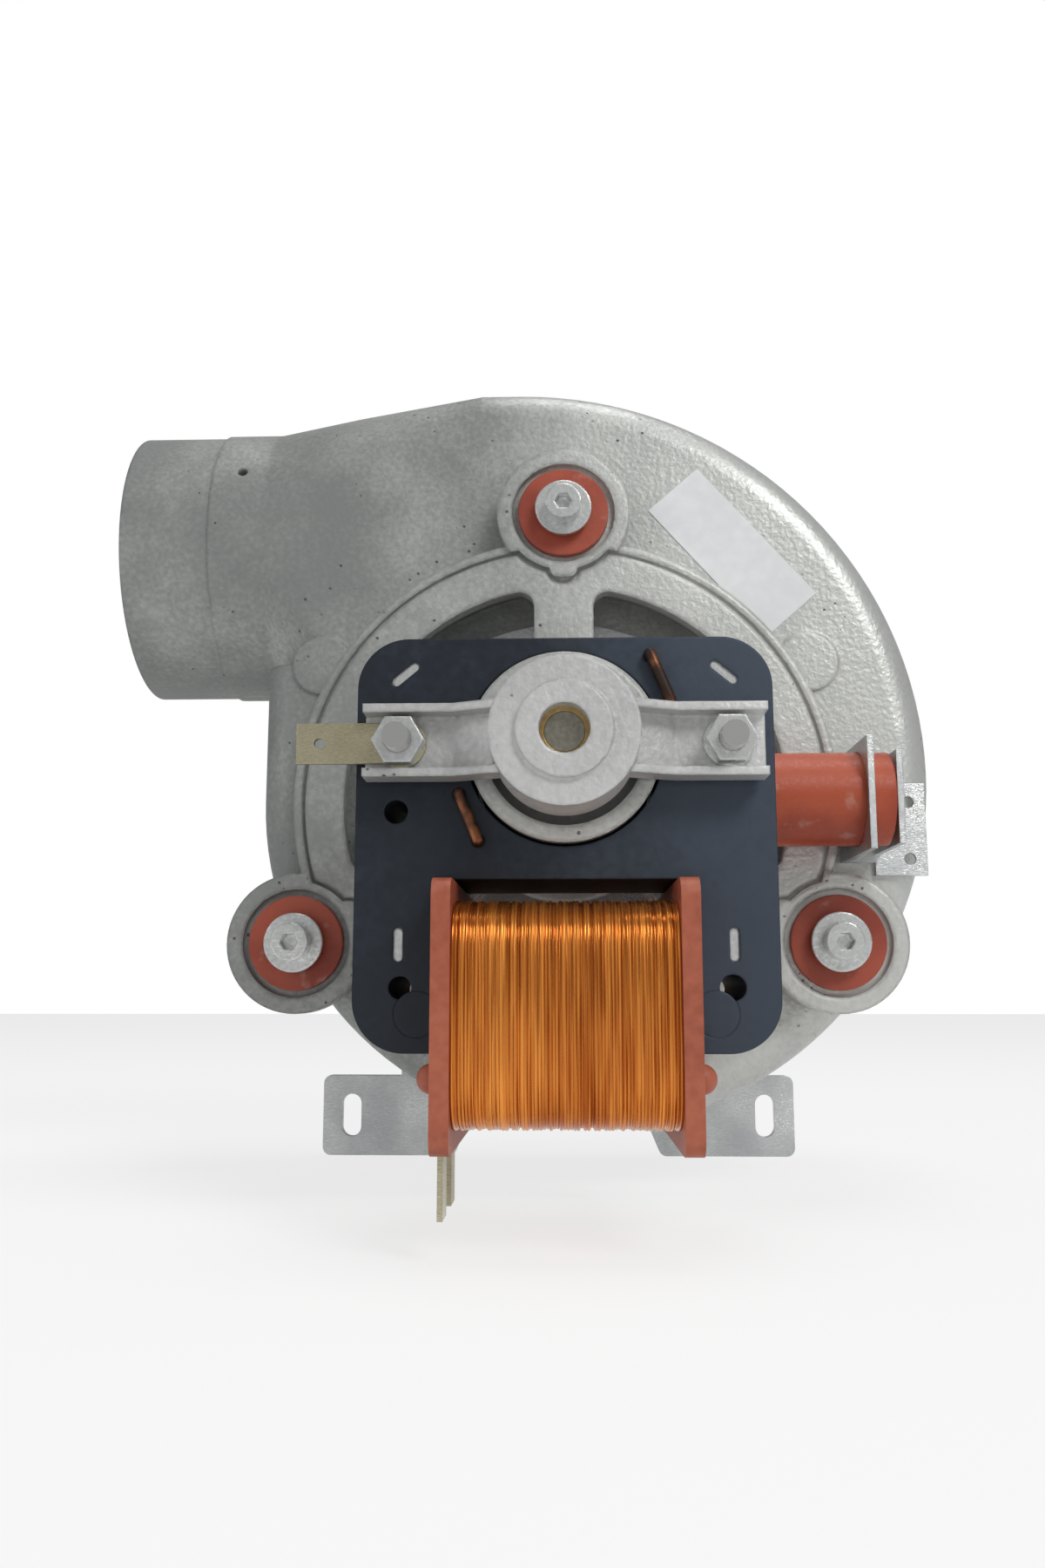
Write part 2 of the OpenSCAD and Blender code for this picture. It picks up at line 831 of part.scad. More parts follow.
flange_z = winding_z + flange_over;
flange_d = winding_d + 1;
flange_x = winding_l / 2;

module coil_bobbin() {
    color("sienna")
        difference() {
            union() {
                coil_block(flange_x + cut, former_d, former_z, former_t / 2);
                for (side = [0, 1])
                    mirror([side, 0, 0]) {
                        intersection() {
                            coil_block(flange_x + flange_t, flange_d, flange_z, flange_round);
                            block([flange_x, 0, -4 * flange_z], [flange_x + flange_t, 3 * stator_d, 4 * flange_z]);
                        }
                        translate([flange_x + flange_t, -stator_mid_d - flange_d + nose_l, nose_z])
                            intersection() {
                                sphere(nose_out);
                                translate([-cut, -nose_l, -nose_l]) cube(2 * nose_l);
                            }
                    }
            }
            block([-2 * flange_x, stator_back_d - former_gap, core_z - core_h / 2 - former_gap],
                [2 * flange_x, stator_d + former_gap, core_z + core_h / 2 + former_gap]);
            for (d = terminal_d)
                block([-flange_x - flange_t / 2 - terminal_t / 2, d, core_z - flange_z - cut],
                    [-flange_x - flange_t / 2 + terminal_t / 2, d + terminal_w, core_z - flange_z + terminal_l / 2]);
        }
}

module coil_winding() {
    color("chocolate")
        difference() {
            coil_block(flange_x, winding_d, winding_z, winding_t);
            coil_block(flange_x + cut, former_d, former_z, former_t / 2);
        }
}

module coil_terminals() {
    color("tan")
        for (i = [0, 1])
            block([-flange_x - flange_t / 2 - terminal_t / 2, terminal_d[i], core_z - flange_z - terminal_l],
                [-flange_x - flange_t / 2 + terminal_t / 2, terminal_d[i] + terminal_w,
                    core_z - flange_z + terminal_l / 2]);
}

// Bearing brackets: the rear one is the front one turned round
arm_tip_x = stud_x + 5.4;
arm_ramp_x = 17;
arm_rise = 3.4;
rim_h = 3.6;
housing_lift = 3;
cap_ring_r = 7.2;
cap_ring_t = 1;
cap_hole_r = shaft_r + 0.75;
bearing_r = 6;
bearing_front_d = cap_d - 3;
bearing_back_d = stator_d + 5;
foot_r = 4.6;

module to_rear() {
    translate([0, -stator_mid_d, 0])
        mirror([0, 1, 0])
            translate([0, stator_mid_d, 0])
                children();
}

// Side view of an arm, (x, depth)
module arm_side(low, high) {
    polygon([[cap_r - 2, arm_floor_d + arm_rise - low], [arm_ramp_x, arm_floor_d - low],
        [arm_tip_x, arm_floor_d - low], [arm_tip_x, arm_floor_d + high],
        [arm_ramp_x, arm_floor_d + high], [cap_r - 2, arm_floor_d + arm_rise + high]]);
}

module arm_part(z0, z1, low, high) {
    translate([0, 0, z0])
        mirror([0, 1, 0])
            linear_extrude(z1 - z0)
                arm_side(low, high);
}

module end_bracket() {
    difference() {
        union() {
            post(0, 0, stator_d + housing_lift, cap_d - cap_ring_t, cap_r);
            post(0, 0, cap_d - 2 * cap_ring_t, cap_d, cap_ring_r);
            for (side = [0, 1])
                mirror([side, 0, 0]) {
                    arm_part(-arm_h / 2, arm_h / 2, arm_floor_t, 0);
                    arm_part(-arm_h / 2, arm_rim - arm_h / 2, arm_floor_t, rim_h);
                    arm_part(arm_h / 2 - arm_rim, arm_h / 2, arm_floor_t, rim_h);
                    post(stud_x, 0, stator_d, arm_floor_d - cut, foot_r);
                }
        }
        post(0, 0, stator_d, bearing_front_d, bearing_r);
        post(0, 0, stator_d, cap_d + cut, cap_hole_r);
        for (side = [-1, 1]) post(side * stud_x, 0, stator_d - cut, cap_d, stud_hole_r);
    }
}

module front_bracket() {
    color("silver") end_bracket();
}

module rear_bracket() {
    color("silver") to_rear() end_bracket();
}

module bearing() {
    pipe(0, 0, bearing_back_d, bearing_front_d, bearing_r, shaft_r + running_gap);
}

module front_bearing() {
    color("goldenrod") bearing();
}

module rear_bearing() {
    color("goldenrod") to_rear() bearing();
}

module bearing_retainers() {
    color("gray") {
        pipe(0, 0, bearing_back_d - cut, bearing_back_d, bearing_r, bearing_r - cut);
        to_rear() pipe(0, 0, bearing_back_d - cut, bearing_back_d, bearing_r, bearing_r - cut);
    }
}

// Rotor
ring_out = 1.5;
ring_in = 1;
ring_wall = 2.6;
thrust_r = 4.4;
thrust_play = 0.4;

module rotor_core() {
    color("dimgray") pipe(0, 0, stator_back_d + ring_in, stator_d - ring_in, rotor_r, shaft_r);
}

module rotor_end_rings() {
    color("peru") {
        pipe(0, 0, stator_d - ring_in, stator_d + ring_out, rotor_r, rotor_r - ring_wall);
        pipe(0, 0, stator_back_d - ring_out, stator_back_d + ring_in, rotor_r, rotor_r - ring_wall);
    }
}

module thrust_washers() {
    color("wheat") {
        pipe(0, 0, stator_d - ring_in, bearing_back_d - thrust_play, thrust_r, shaft_r);
        to_rear() pipe(0, 0, stator_d - ring_in, bearing_back_d - thrust_play, thrust_r, shaft_r);
    }
}

// Studs and what they clamp
stud_end_d = arm_floor_d + tab_t + nut_t + 3.5;
washer_r = 4.1;

module motor_studs() {
    color("gainsboro")
        for (side = [-1, 1]) post(side * stud_x, 0, carrier_back_d, stud_end_d, stud_r);
}

module stud_spacers() {
    color("gainsboro")
        for (side = [-1, 1])
            pipe(side * stud_x, 0, carrier_d + stud_boss_l, 2 * stator_mid_d - arm_floor_d, washer_r, stud_hole_r);
}

module stud_nuts() {
    color("gainsboro")
        for (side = [-1, 1])
            difference() {
                slab(arm_floor_d + tab_t, arm_floor_d + tab_t + nut_t)
                    translate([side * stud_x, 0]) circle(nut_r, $fn = 6);
                post(side * stud_x, 0, arm_floor_d, arm_floor_d + tab_t + nut_t + cut, stud_r);
            }
}

module stud_washers() {
    color("gainsboro") pipe(stud_x, 0, arm_floor_d, arm_floor_d + tab_t, washer_r, stud_hole_r);
}

tab_w = 6.3;
tab_end_x = -41.2;
tab_hole_r = 0.85;
tab_hole_in = 3.6;

module earth_tab() {
    color("tan")
        difference() {
            slab(arm_floor_d, arm_floor_d + tab_t) {
                translate([tab_end_x, -tab_w / 2]) square([-stud_x - tab_end_x, tab_w]);
                translate([-stud_x, 0]) circle(washer_r - seat_gap);
            }
            post(-stud_x, 0, arm_floor_d - cut, arm_floor_d + tab_t + cut, stud_hole_r);
            post(tab_end_x + tab_hole_in, 0, arm_floor_d - cut, arm_floor_d + tab_t + cut, tab_hole_r);
        }
}

// Silicone sleeve and its bent steel bracket
sleeve_x0 = 31;
sleeve_x1 = 60.5;
sleeve_z = -1.5;
sleeve_wall = 2.4;
sleeve_d = carrier_d + 1.2 + sleeve_r;
fin_x = carrier_r + 1;
fin_margin = 1.6;
end_wall_x = sleeve_x1 + 1.2;
flange_end_x = 72;
flange_low = -14.5;
flange_high = 4;
flange_hole_r = 1.2;
flange_hole_x = 68.6;
flange_hole_z = [0.2, -11.2];
clip_rivet_x = 58.9;
clip_rivet_z = [5, -8];
clip_rivet_r = 1.3;
clip_rivet_head_r = 2.4;

module sleeve_cylinder(x0, x1, r) {
    translate([x0, -sleeve_d, sleeve_z])
        rotate([0, 90, 0])
            cylinder(h = x1 - x0, r = r);
}

module sleeve_bracket() {
    low = sleeve_z - sleeve_r - fin_margin;
    high = sleeve_z + sleeve_r + fin_margin;
    t = sleeve_steel_t;
    color("darkgray")
        difference() {
            union() {
                block([fin_x, face_d, low], [end_wall_x + t, face_d + t, high]);
                block([fin_x, face_d, low], [fin_x + t, sleeve_d + sleeve_r + fin_margin, high]);
                block([end_wall_x, face_d, low + fin_margin],
                    [end_wall_x + t, sleeve_d + sleeve_r / 2, high - fin_margin]);
                block([end_wall_x, face_d, flange_low], [flange_end_x, face_d + t, flange_high]);
            }
            sleeve_cylinder(fin_x - cut, sleeve_x1 + seat_gap, sleeve_r + seat_gap);
            for (z = flange_hole_z) post(flange_hole_x, z, face_d - cut, face_d + t + cut, flange_hole_r);
            for (z = clip_rivet_z) post(clip_rivet_x, z, face_d - cut, face_d + t + cut, clip_rivet_r);
        }
}

module silicone_sleeve() {
    color("orangered")
        difference() {
            sleeve_cylinder(sleeve_x0, sleeve_x1, sleeve_r);
            sleeve_cylinder(sleeve_x0 - cut, sleeve_x1 - sleeve_wall, sleeve_r - sleeve_wall);
        }
}

module sleeve_bracket_rivets() {
    color("gainsboro")
        for (z = clip_rivet_z) {
            post(clip_rivet_x, z, face_d - casting_wall, face_d + sleeve_steel_t, clip_rivet_r);
            post(clip_rivet_x, z, face_d + sleeve_steel_t, face_d + 2 * sleeve_steel_t, clip_rivet_head_r);
        }
}

label_l = 36.4;
label_w = 13.8;
label_t = 0.2;
label_spot = [35, 53.3];
label_turn = -48.8;

module label() {
    color("white")
        slab(face_d, face_d + label_t)
            translate(label_spot) rotate(label_turn) square([label_l, label_w], center = true);
}

scroll_housing();
back_gasket();
back_plate();
back_plate_screws();
mounting_bracket();
bracket_rivets();
impeller_disc();
impeller_blades();
impeller_shroud();
impeller_hub();
impeller_nut();
shaft();
shaft_seal();
cooling_fan();
rotor_core();
rotor_end_rings();
motor_carrier();
silicone_bushes();
bush_sleeves();
bush_washers();
bush_bolts();
stator_core();
coil_core();
stack_clinches();
shading_rings();
coil_bobbin();
coil_winding();
coil_terminals();
front_bracket();
rear_bracket();
front_bearing();
rear_bearing();
bearing_retainers();
thrust_washers();
motor_studs();
stud_spacers();
stud_nuts();
stud_washers();
earth_tab();
sleeve_bracket();
silicone_sleeve();
sleeve_bracket_rivets();
label();
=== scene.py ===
import math

import bmesh
import bpy
from mathutils import Matrix, Vector


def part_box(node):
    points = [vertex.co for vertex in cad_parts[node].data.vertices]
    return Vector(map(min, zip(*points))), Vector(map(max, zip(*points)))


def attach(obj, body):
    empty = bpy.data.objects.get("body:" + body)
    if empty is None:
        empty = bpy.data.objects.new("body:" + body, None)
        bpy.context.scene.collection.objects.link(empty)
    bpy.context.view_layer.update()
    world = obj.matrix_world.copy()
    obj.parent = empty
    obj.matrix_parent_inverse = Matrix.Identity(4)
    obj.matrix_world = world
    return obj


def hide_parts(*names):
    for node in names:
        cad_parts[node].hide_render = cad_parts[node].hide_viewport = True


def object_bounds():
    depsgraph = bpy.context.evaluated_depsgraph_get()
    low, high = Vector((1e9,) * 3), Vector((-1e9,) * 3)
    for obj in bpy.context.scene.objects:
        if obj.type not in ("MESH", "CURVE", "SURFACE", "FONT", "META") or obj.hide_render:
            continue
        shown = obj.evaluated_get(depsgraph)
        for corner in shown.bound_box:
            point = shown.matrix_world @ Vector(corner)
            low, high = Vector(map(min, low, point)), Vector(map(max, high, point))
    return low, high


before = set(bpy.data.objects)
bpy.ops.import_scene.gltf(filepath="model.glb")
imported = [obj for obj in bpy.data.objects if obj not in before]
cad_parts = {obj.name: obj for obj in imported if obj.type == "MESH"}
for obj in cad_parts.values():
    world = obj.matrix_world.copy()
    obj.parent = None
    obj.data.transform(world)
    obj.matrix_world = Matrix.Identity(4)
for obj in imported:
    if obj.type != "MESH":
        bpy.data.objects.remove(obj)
cad_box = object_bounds()


# ---- Scroll housing ---------------------------------------------------------
# Pressure die-cast aluminium, left as it came from the die: a matt grey skin with
# faint flow clouds and small pits. It carries every other piece of the fan.

class Wire:
    """A socket of a finish. A sum written on it adds a Math node."""

    def __init__(self, finish, socket):
        self.finish = finish
        self.socket = socket

    def sum(self, operation, first, second):
        return self.finish.node("ShaderNodeMath", {"operation": operation}, {0: first, 1: second})

    def __add__(self, other):
        return self.sum("ADD", self, other)

    def __radd__(self, other):
        return self.sum("ADD", other, self)

    def __sub__(self, other):
        return self.sum("SUBTRACT", self, other)

    def __rsub__(self, other):
        return self.sum("SUBTRACT", other, self)

    def __mul__(self, other):
        return self.sum("MULTIPLY", self, other)

    def __rmul__(self, other):
        return self.sum("MULTIPLY", other, self)


class Finish:
    """A material being made up. Its node method adds any node there is."""

    def __init__(self, name, metallic):
        self.material = bpy.data.materials.new(name)
        self.material.use_nodes = True
        self.tree = self.material.node_tree
        self.shader = self.tree.nodes["Principled BSDF"]
        self.shader.inputs["Metallic"].default_value = metallic
        self.place = self.node("ShaderNodeTexCoord", {}, {}, "Object")

    def node(self, kind, settings, inputs, output=0):
        made = self.tree.nodes.new(kind)
        for setting, value in settings.items():
            setattr(made, setting, value)
        for key, value in inputs.items():
            self.join(made.inputs[key], value)
        return Wire(self, made.outputs[output])

    def join(self, socket, value):
        if isinstance(value, Wire):
            self.tree.links.new(value.socket, socket)
        else:
            socket.default_value = value

    def axis(self, letter):
        return self.node("ShaderNodeSeparateXYZ", {}, {0: self.place}, letter)

    def noise(self, scale, detail=3.0, stretch=(1, 1, 1)):
        turned = self.node("ShaderNodeMapping", {}, {"Vector": self.place, "Scale": stretch})
        return self.node("ShaderNodeTexNoise", {}, {"Vector": turned, "Scale": scale, "Detail": detail})

    def ease(self, value, low, high, start=0.0, end=1.0):
        settings = {"interpolation_type": "SMOOTHSTEP"}
        spans = {0: value, 1: low, 2: high, 3: start, 4: end}
        return self.node("ShaderNodeMapRange", settings, spans)

    def mix(self, factor, first, second):
        settings = {"data_type": "RGBA"}
        return self.node("ShaderNodeMix", settings, {0: factor, 6: first, 7: second}, 2)

    def bump(self, height, depth, normal=None):
        inputs = {"Height": height, "Distance": depth, "Strength": 1.0}
        if normal is not None:
            inputs["Normal"] = normal
        return self.node("ShaderNodeBump", {}, inputs)

    def round_edges(self, radius):
        return self.node("ShaderNodeBevel", {"samples": 4}, {"Radius": radius})

    def wear(self, colour, roughness, normal=None):
        self.join(self.shader.inputs["Base Color"], colour)
        self.join(self.shader.inputs["Roughness"], roughness)
        if normal is not None:
            self.join(self.shader.inputs["Normal"], normal)
        return self.material


def dress(finish, *names):
    for name in names:
        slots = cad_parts[name].data.materials
        slots.clear()
        slots.append(finish)


def as_cast(name, dark, light, edge):
    cast = Finish(name, 0.55)
    cloud = cast.noise(38.0, 4.0)
    grain = cast.noise(950.0, 2.0)
    spots = cast.node("ShaderNodeTexVoronoi", {}, {"Vector": cast.place, "Scale": 420.0})
    pit = cast.ease(spots, 0.07, 0.16, 1.0, 0.0) * cast.ease(cast.noise(60.0), 0.54, 0.62)
    # painted highlight: the casting's colour is painted lighter towards +X, standing in for light falling
    # from the right
    painted_light_to_right = cast.ease(cast.axis("X"), -0.06, 0.07, 0.0, 0.35)
    tone = cast.ease(cloud * 0.6 + grain * 0.25 + painted_light_to_right, 0.3, 0.85)
    colour = cast.mix(pit, cast.mix(tone, dark, light), (0.12, 0.12, 0.115, 1))
    height = grain * 0.6 + cloud * 0.4 - pit
    rough = 0.62 - tone * 0.22
    return cast.wear(colour, rough, cast.bump(height, 0.00022, cast.round_edges(edge)))


housing_cast = as_cast("die_cast_aluminium", (0.25, 0.265, 0.255, 1), (0.60, 0.61, 0.585, 1), 0.0012)
dress(housing_cast, "scroll_housing")


# ---- Back plate and gasket --------------------------------------------------
# A pressed zinc-plated plate with a drawn inlet collar closes the open back of the
# scroll. A black fibre gasket lies under it, and plated screws hold both.

def plated(name, dark, light, stretch=(1, 1, 1), edge=0.0003):
    sheet = Finish(name, 0.8)
    bloom = sheet.noise(55.0, 4.0)
    draw = sheet.noise(1300.0, 2.0, stretch)
    tone = sheet.ease(bloom * 0.6 + draw * 0.4, 0.32, 0.68)
    rough = 0.4 - tone * 0.16
    normal = sheet.bump(draw, 0.00005, sheet.round_edges(edge))
    return sheet.wear(sheet.mix(tone, dark, light), rough, normal)


def matt(name, dark, light, scale, rough, depth):
    body = Finish(name, 0.0)
    cloud = body.noise(scale * 0.1, 3.0)
    skin = body.noise(scale, 3.0)
    tone = body.ease(cloud * 0.6 + skin * 0.4, 0.35, 0.65)
    return body.wear(body.mix(tone, dark, light), rough + 0.12 * cloud, body.bump(skin, depth))


zinc_sheet = plated("zinc_plated_sheet", (0.46, 0.48, 0.49, 1), (0.74, 0.75, 0.74, 1), (1, 1, 8))
fibre_dark = (0.06, 0.06, 0.06, 1)
fibre_light = (0.13, 0.13, 0.125, 1)
fibre = matt("gasket_fibre", fibre_dark, fibre_light, scale=900.0, rough=0.75, depth=0.0001)
screw_zinc = plated("bright_zinc", (0.52, 0.54, 0.54, 1), (0.84, 0.85, 0.83, 1), (1, 1, 1), 0.0005)
dress(zinc_sheet, "back_plate")
dress(fibre, "back_gasket")
dress(screw_zinc, "back_plate_screws")


# ---- Mounting bracket -------------------------------------------------------
# A strip of plated steel riveted across the back plate. Its two lugs stand out
# below the scroll, each with an upright slot for the screw into the wall.

dress(zinc_sheet, "mounting_bracket")
dress(screw_zinc, "bracket_rivets")


# ---- Impeller ---------------------------------------------------------------
# Rolled aluminium disc, blades and shroud, staked together and clamped to the
# turned hub by a nut on the end of the shaft.

impeller_sheet = plated("rolled_aluminium", (0.52, 0.53, 0.54, 1), (0.72, 0.73, 0.73, 1), (1, 6, 1))
dress(impeller_sheet, "impeller_disc", "impeller_blades", "impeller_shroud", "impeller_hub")
dress(screw_zinc, "impeller_nut")


# ---- Shaft, seal and cooling fan --------------------------------------------
# The shaft is ground steel. A rubber ring seals it where it leaves the hot side,
# and a small pressed fan on it draws air through the windows of the carrier.

ground_steel = plated("ground_steel", (0.2, 0.19, 0.15, 1), (0.42, 0.4, 0.33, 1), (1, 20, 1))
seal_dark = (0.03, 0.03, 0.03, 1)
seal_light = (0.06, 0.06, 0.06, 1)
seal_rubber = matt("seal_rubber", seal_dark, seal_light, scale=1200.0, rough=0.6, depth=0.00005)
dress(ground_steel, "shaft")
dress(seal_rubber, "shaft_seal")
dress(impeller_sheet, "cooling_fan")


# ---- Motor carrier ----------------------------------------------------------
# A second aluminium die casting: a rim with three pads for the bushes, and spokes
# that end in the two bosses for the motor's studs. Its edges are tumbled bright.

carrier_cast = as_cast("tumbled_cast_aluminium", (0.29, 0.30, 0.29, 1), (0.68, 0.69, 0.66, 1), 0.0014)
dress(carrier_cast, "motor_carrier")


# ---- Silicone bushes --------------------------------------------------------
# Red silicone rings pressed into the pads keep the motor's heat and hum away from
# the scroll. A plain sleeve lines each, and a washer and a socket screw hold it.

def silicone(name, dark, light):
    rubber = Finish(name, 0.0)
    cloud = rubber.noise(70.0, 3.0)
    skin = rubber.noise(1500.0, 2.0)
    dust = rubber.ease(rubber.noise(240.0, 5.0), 0.6, 0.75, 0.0, 0.22)
    colour = rubber.mix(rubber.ease(cloud, 0.35, 0.65), dark, light)
    dusted = rubber.mix(dust, colour, (0.72, 0.6, 0.52, 1))
    rough = rubber.ease(skin, 0.3, 0.7, 0.36, 0.52)
    return rubber.wear(dusted, rough, rubber.bump(skin, 0.00004, rubber.round_edges(0.0005)))


bush_red = silicone("bush_silicone", (0.30, 0.045, 0.022, 1), (0.43, 0.085, 0.045, 1))
dress(bush_red, "silicone_bushes")
dress(zinc_sheet, "bush_sleeves")
dress(screw_zinc, "bush_washers", "bush_bolts")


# ---- Rotor ------------------------------------------------------------------
# Stacked steel laminations with a cast aluminium ring at each end, turning on the
# shaft between two plastic thrust washers.

def laminated(name, dark, light):
    stack = Finish(name, 0.35)
    cloud = stack.noise(45.0, 4.0)
    scale = stack.noise(700.0, 3.0)
    sheets = stack.node("ShaderNodeMath", {"operation": "FRACT"}, {0: stack.axis("Y") * 2000.0})
    joint = stack.ease(sheets, 0.0, 0.3, 1.0, 0.0)
    facing = stack.node("ShaderNodeNewGeometry", {}, {}, "Normal")
    slope = stack.node("ShaderNodeSeparateXYZ", {}, {0: facing}, "Y")
    side = stack.ease(slope * slope, 0.2, 0.6, 1.0, 0.0)
    # painted highlight: the stack's colour is painted lighter towards +X, standing in for light falling
    # from the right
    glow = stack.ease(stack.axis("X"), -0.02, 0.034, 0.0, 0.5)
    tone = stack.ease(cloud * 0.5 + scale * 0.3 + glow, 0.3, 0.95)
    rust = stack.ease(stack.noise(160.0, 5.0), 0.62, 0.74, 0.0, 0.5) * side
    face = stack.mix(tone, dark, light)
    cut = stack.mix(rust, face, (0.16, 0.08, 0.035, 1))
    rough = 0.36 + scale * 0.25
    height = scale * 0.3 - joint * side
    return stack.wear(cut, rough, stack.bump(height, 0.00012, stack.round_edges(0.0005)))


bare_stack = laminated("rotor_laminations", (0.09, 0.088, 0.085, 1), (0.22, 0.22, 0.215, 1))
dress(bare_stack, "rotor_core")
dress(carrier_cast, "rotor_end_rings")
thrust_dark = (0.62, 0.57, 0.44, 1)
thrust_light = (0.72, 0.67, 0.53, 1)
thrust_plastic = matt("thrust_plastic", thrust_dark, thrust_light, scale=700.0, rough=0.4, depth=0.00003)
dress(thrust_plastic, "thrust_washers")


# ---- Stator -----------------------------------------------------------------
# Punched laminations, blued and varnished, held together by clinched tongues that
# shine where the punch has scraped them. The bar through the coil closes the loop.

blued_stack = laminated("blued_laminations", (0.012, 0.017, 0.026, 1), (0.05, 0.066, 0.092, 1))
dress(blued_stack, "stator_core", "coil_core")
dress(screw_zinc, "stack_clinches")


# ---- Shading rings ----------------------------------------------------------
# Two turns of heavy bare copper wire at opposite corners of the bore. They start
# the motor the right way round, and heat has browned them.

browned = Finish("browned_copper", 0.85)
soot = browned.ease(browned.noise(260.0, 4.0), 0.3, 0.56)
browned_tone = browned.mix(soot, (0.32, 0.12, 0.055, 1), (0.05, 0.032, 0.026, 1))
browned.wear(browned_tone, 0.3 + soot * 0.25, browned.bump(browned.noise(1400.0), 0.00004))
dress(browned.material, "shading_rings")


# ---- Coil former ------------------------------------------------------------
# Moulded in a red-brown heat-proof plastic: a square tube with a tall cheek at
# each end. The cheeks run down past the winding and carry the terminals.

former_dark = (0.33, 0.075, 0.036, 1)
former_light = (0.46, 0.125, 0.065, 1)
former_plastic = matt("former_plastic", former_dark, former_light, scale=600.0, rough=0.42, depth=0.00006)
dress(former_plastic, "coil_bobbin")
tinned = plated("tinned_brass", (0.34, 0.3, 0.19, 1), (0.62, 0.58, 0.42, 1), (1, 1, 6))
dress(tinned, "coil_terminals")


# ---- Winding ----------------------------------------------------------------
# Enamelled copper wire wound on the former in close turns, side by side, so that
# each turn shows as a fine upright ridge with a bright line of its own.

wire_enamel = Finish("wire_enamel", 0.8)
amber = wire_enamel.ease(wire_enamel.noise(90.0, 3.0, (1, 1, 0.3)), 0.3, 0.7)
strand = wire_enamel.ease(wire_enamel.noise(1900.0, 1.0, (1, 0.03, 0.03)), 0.35, 0.65)
amber_tone = wire_enamel.mix(amber * 0.45 + strand * 0.55, (0.40, 0.085, 0.008, 1), (0.86, 0.33, 0.06, 1))
wire_enamel.wear(amber_tone, 0.2 + strand * 0.12, wire_enamel.bump(strand, 0.00005))

coil_low, coil_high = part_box("coil_winding")
coil_middle = (coil_low + coil_high) / 2
coil_half = (coil_high - coil_low) / 2
wire_turns = 66
turn_pitch = 2 * coil_half.x / wire_turns
wire_groove = turn_pitch * 0.32
winding_wall = 0.0098
ring_corners = 56
squareness = 0.36
loose_lay = 0.00022

coil = bmesh.new()
bmesh.ops.create_circle(coil, segments=ring_corners, radius=1.0)
for corner in coil.verts:
    across = math.copysign(abs(corner.co.x) ** squareness, corner.co.x) * (coil_half.y - winding_wall)
    up = math.copysign(abs(corner.co.y) ** squareness, corner.co.y) * (coil_half.z - winding_wall)
    corner.co = Vector((coil_low.x, coil_middle.y + across, coil_middle.z + up))
ring = list(coil.edges)
first_ring = ring
ring_half = Vector((1, coil_half.y - winding_wall, coil_half.z - winding_wall))


def next_ring(edges, shift, half, wanted):
    """Extrudes the ring of edges along the coil and grows it to the wanted half sizes."""
    made = bmesh.ops.extrude_edge_only(coil, edges=edges)["geom"]
    verts = [part for part in made if isinstance(part, bmesh.types.BMVert)]
    bmesh.ops.translate(coil, vec=(shift, 0, 0), verts=verts)
    growth = Vector((1, wanted.y / half.y, wanted.z / half.z))
    about = Matrix.Translation(-coil_middle)
    bmesh.ops.scale(coil, vec=growth, space=about, verts=verts)
    return [part for part in made if isinstance(part, bmesh.types.BMEdge)], wanted


for turn in range(wire_turns):
    lay = loose_lay * (1 + math.sin(turn * 2.4)) * math.sin(turn * 0.9) ** 2
    crest = Vector((1, coil_half.y - lay, coil_half.z - lay))
    valley = crest - Vector((0, wire_groove, wire_groove))
    shoulder = crest - Vector((0, wire_groove * 0.3, wire_groove * 0.3))
    steps = ((0.0, valley), (0.22, shoulder), (0.28, crest), (0.28, shoulder), (0.22, valley))
    for share, wanted in steps:
        ring, ring_half = next_ring(ring, share * turn_pitch, ring_half, wanted)
inner = Vector((1, coil_half.y - winding_wall, coil_half.z - winding_wall))
ring, ring_half = next_ring(ring, 0, ring_half, inner)
bmesh.ops.bridge_loops(coil, edges=ring + first_ring)
bmesh.ops.remove_doubles(coil, verts=coil.verts, dist=0.000001)
bmesh.ops.recalc_face_normals(coil, faces=coil.faces)
for face in coil.faces:
    face.smooth = True
coil_mesh = bpy.data.meshes.new("wound_wire")
coil.to_mesh(coil_mesh)
coil.free()
wound_wire = bpy.data.objects.new("wound_wire", coil_mesh)
wound_wire.data.materials.append(wire_enamel.material)
bpy.context.scene.collection.objects.link(wound_wire)
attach(wound_wire, "housing")
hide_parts("coil_winding")


# ---- Bearing brackets -------------------------------------------------------
# Zinc-bright die castings, front and rear alike: a round cap for the self-aligning
# bearing and two channel arms whose ends sit on the motor's studs.

bracket_cast = as_cast("fine_cast_alloy", (0.40, 0.405, 0.40, 1), (0.74, 0.745, 0.735, 1), 0.0007)
dress(bracket_cast, "front_bracket", "rear_bracket")
oiled_bronze = plated("oiled_bronze", (0.34, 0.22, 0.08, 1), (0.55, 0.38, 0.17, 1))
dress(oiled_bronze, "front_bearing", "rear_bearing")
dress(zinc_sheet, "bearing_retainers")


# ---- Motor studs ------------------------------------------------------------
# Plated studs run through bracket, stack and spacers into the carrier. A nut
# closes each, with the earth tab under the left one and a washer under the right.

thread = Finish("stud_thread", 0.8)
winding_way = thread.node("ShaderNodeMath", {"operation": "FRACT"}, {0: thread.axis("Y") * 1430.0})
flank = thread.ease(winding_way, 0.0, 0.5) * thread.ease(winding_way, 0.5, 1.0, 1.0, 0.0)
# painted shade and highlight: the colour runs dark in each thread root and light on each crest, following
# the bump
thread_painted_shading = thread.mix(flank, (0.3, 0.3, 0.29, 1), (0.8, 0.81, 0.79, 1))
thread.wear(thread_painted_shading, 0.34 - flank * 0.1, thread.bump(flank, 0.0003))
dress(thread.material, "motor_studs")
dress(screw_zinc, "stud_nuts", "stud_washers")
dress(zinc_sheet, "stud_spacers")
dress(tinned, "earth_tab")


